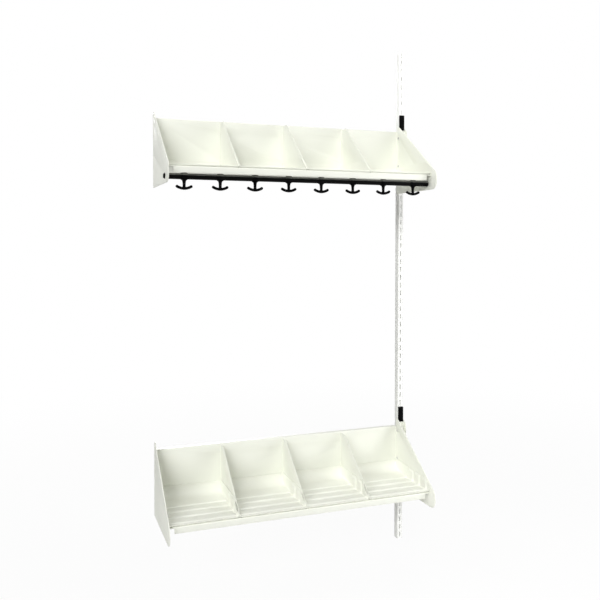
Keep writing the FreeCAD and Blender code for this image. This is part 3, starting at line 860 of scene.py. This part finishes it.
def make_floor():
    """A pale floor that turns to plain white towards the distance and keeps the shadow."""
    mesh = bpy.data.meshes.new("floor")
    corners = [(-FLOOR_HALF, -FLOOR_HALF), (FLOOR_HALF, -FLOOR_HALF),
               (FLOOR_HALF, FLOOR_HALF), (-FLOOR_HALF, FLOOR_HALF)]
    mesh.from_pydata([(x, y, FLOOR_LEVEL) for x, y in corners], [], [(0, 1, 2, 3)])
    floor = bpy.data.objects.new("floor", mesh)
    bpy.context.scene.collection.objects.link(floor)
    material, board = new_board("pale_floor")
    lit = board.node("ShaderNodeBsdfDiffuse", {}, {"Color": rgb(0.85, 0.85, 0.84)})
    white = board.node("ShaderNodeEmission", {}, {"Color": rgb(1, 1, 1), "Strength": 1.0})
    camera = board.node("ShaderNodeLightPath", {}, {})
    place = board.object_place()
    reach = board.node("ShaderNodeVectorMath", {"operation": "LENGTH"}, {0: place}, out=1)
    far = board.node("ShaderNodeMapRange", {"interpolation_type": "SMOOTHSTEP"},
                     {"Value": reach, "From Min": FLOOR_FADE[0], "From Max": FLOOR_FADE[1],
                      "To Min": FLOOR_NEAR, "To Max": 1.0})
    seen = camera * far
    both = board.node("ShaderNodeMixShader", {}, {0: seen, 1: lit, 2: white})
    board.node("ShaderNodeOutputMaterial", {}, {"Surface": both})
    mesh.materials.append(material)


def make_world(strength):
    """White to the camera and in reflections; a plain soft light to everything else."""
    world = bpy.data.worlds.new("soft_sky")
    bpy.context.scene.world = world
    world.use_nodes = True
    board = Board(world.node_tree)
    camera, glossy, transmission = (
        board.node("ShaderNodeLightPath", {}, {}, out=word)
        for word in ("Is Camera Ray", "Is Glossy Ray", "Is Transmission Ray"))
    shown = (camera + glossy + transmission).clamp(0.0, 1.0)
    light = board.node("ShaderNodeBackground", {}, {"Color": rgb(1, 1, 1), "Strength": strength})
    white = board.node("ShaderNodeBackground", {}, {"Color": rgb(1, 1, 1), "Strength": 1.0})
    both = board.node("ShaderNodeMixShader", {}, {0: shown, 1: light, 2: white})
    board.node("ShaderNodeOutputWorld", {}, {"Surface": both})


def make_lamp(name, kind, place, target, spread, power):
    """A soft lamp: a square one of this width, or a sun of this angle."""
    data = bpy.data.lights.new(name, kind)
    if kind == "AREA":
        data.shape = "SQUARE"
        data.size = spread
    else:
        data.angle = spread
    data.energy = power
    lamp = bpy.data.objects.new(name, data)
    bpy.context.scene.collection.objects.link(lamp)
    lamp.location = place
    lamp.rotation_euler = (Vector(target) - Vector(place)).to_track_quat("-Z", "Y").to_euler()
    lamp.visible_camera = False


FOCAL_PIXELS = 698.96
PRINCIPAL_X = 283.17
PRINCIPAL_Y = 255.10
PICTURE = 600
SENSOR = 36.0
EYE = (-1.4031, -2.5191, 0.2295)
YAW = math.radians(19.57)
PITCH = math.radians(-1.20)
ROLL = math.radians(0.01)


def make_camera():
    """The camera that the photograph's straight lines gave."""
    data = bpy.data.cameras.new("camera")
    data.sensor_width = SENSOR
    data.lens = FOCAL_PIXELS / PICTURE * SENSOR
    data.shift_x = (PICTURE / 2 - PRINCIPAL_X) / PICTURE
    data.shift_y = (PRINCIPAL_Y - PICTURE / 2) / PICTURE
    camera = bpy.data.objects.new("camera", data)
    bpy.context.scene.collection.objects.link(camera)
    ahead = Vector((math.sin(YAW) * math.cos(PITCH), math.cos(YAW) * math.cos(PITCH),
                    math.sin(PITCH)))
    right = Vector((math.cos(YAW), -math.sin(YAW), 0))
    up = right.cross(ahead)
    turned_right = right * math.cos(ROLL) + up * math.sin(ROLL)
    turned_up = up * math.cos(ROLL) - right * math.sin(ROLL)
    turn = Matrix((turned_right, turned_up, -ahead)).transposed()
    camera.matrix_world = Matrix.Translation(EYE) @ turn.to_4x4()
    bpy.context.scene.camera = camera


make_floor()
make_world(SKY)
for name, direction, strength in (("front_sun", (-0.6, -1.0, 0.6), 1.42),
                                  ("left_sun", (-1.0, -0.8, 0.5), 0.64),
                                  ("steep_sun", (-1.0, -0.35, 0.9), 0.56),
                                  ("back_sun", (0.1, 1.0, 0.3), 1.6)):
    make_lamp(name, "SUN", direction, (0, 0, 0), SUN_SPREAD, strength)
for name, place, power in (("above", (-0.5, -1.0, 3.2), 30.0),
                           ("right_high", (1.2, -1.4, 0.9), 6.0),
                           ("right_low", (1.2, -1.4, -0.1), 14.0)):
    make_lamp(name, "AREA", place, LAMP_AIM, LAMP_WIDTH, power)
make_camera()
bpy.context.scene.view_settings.view_transform = "Standard"
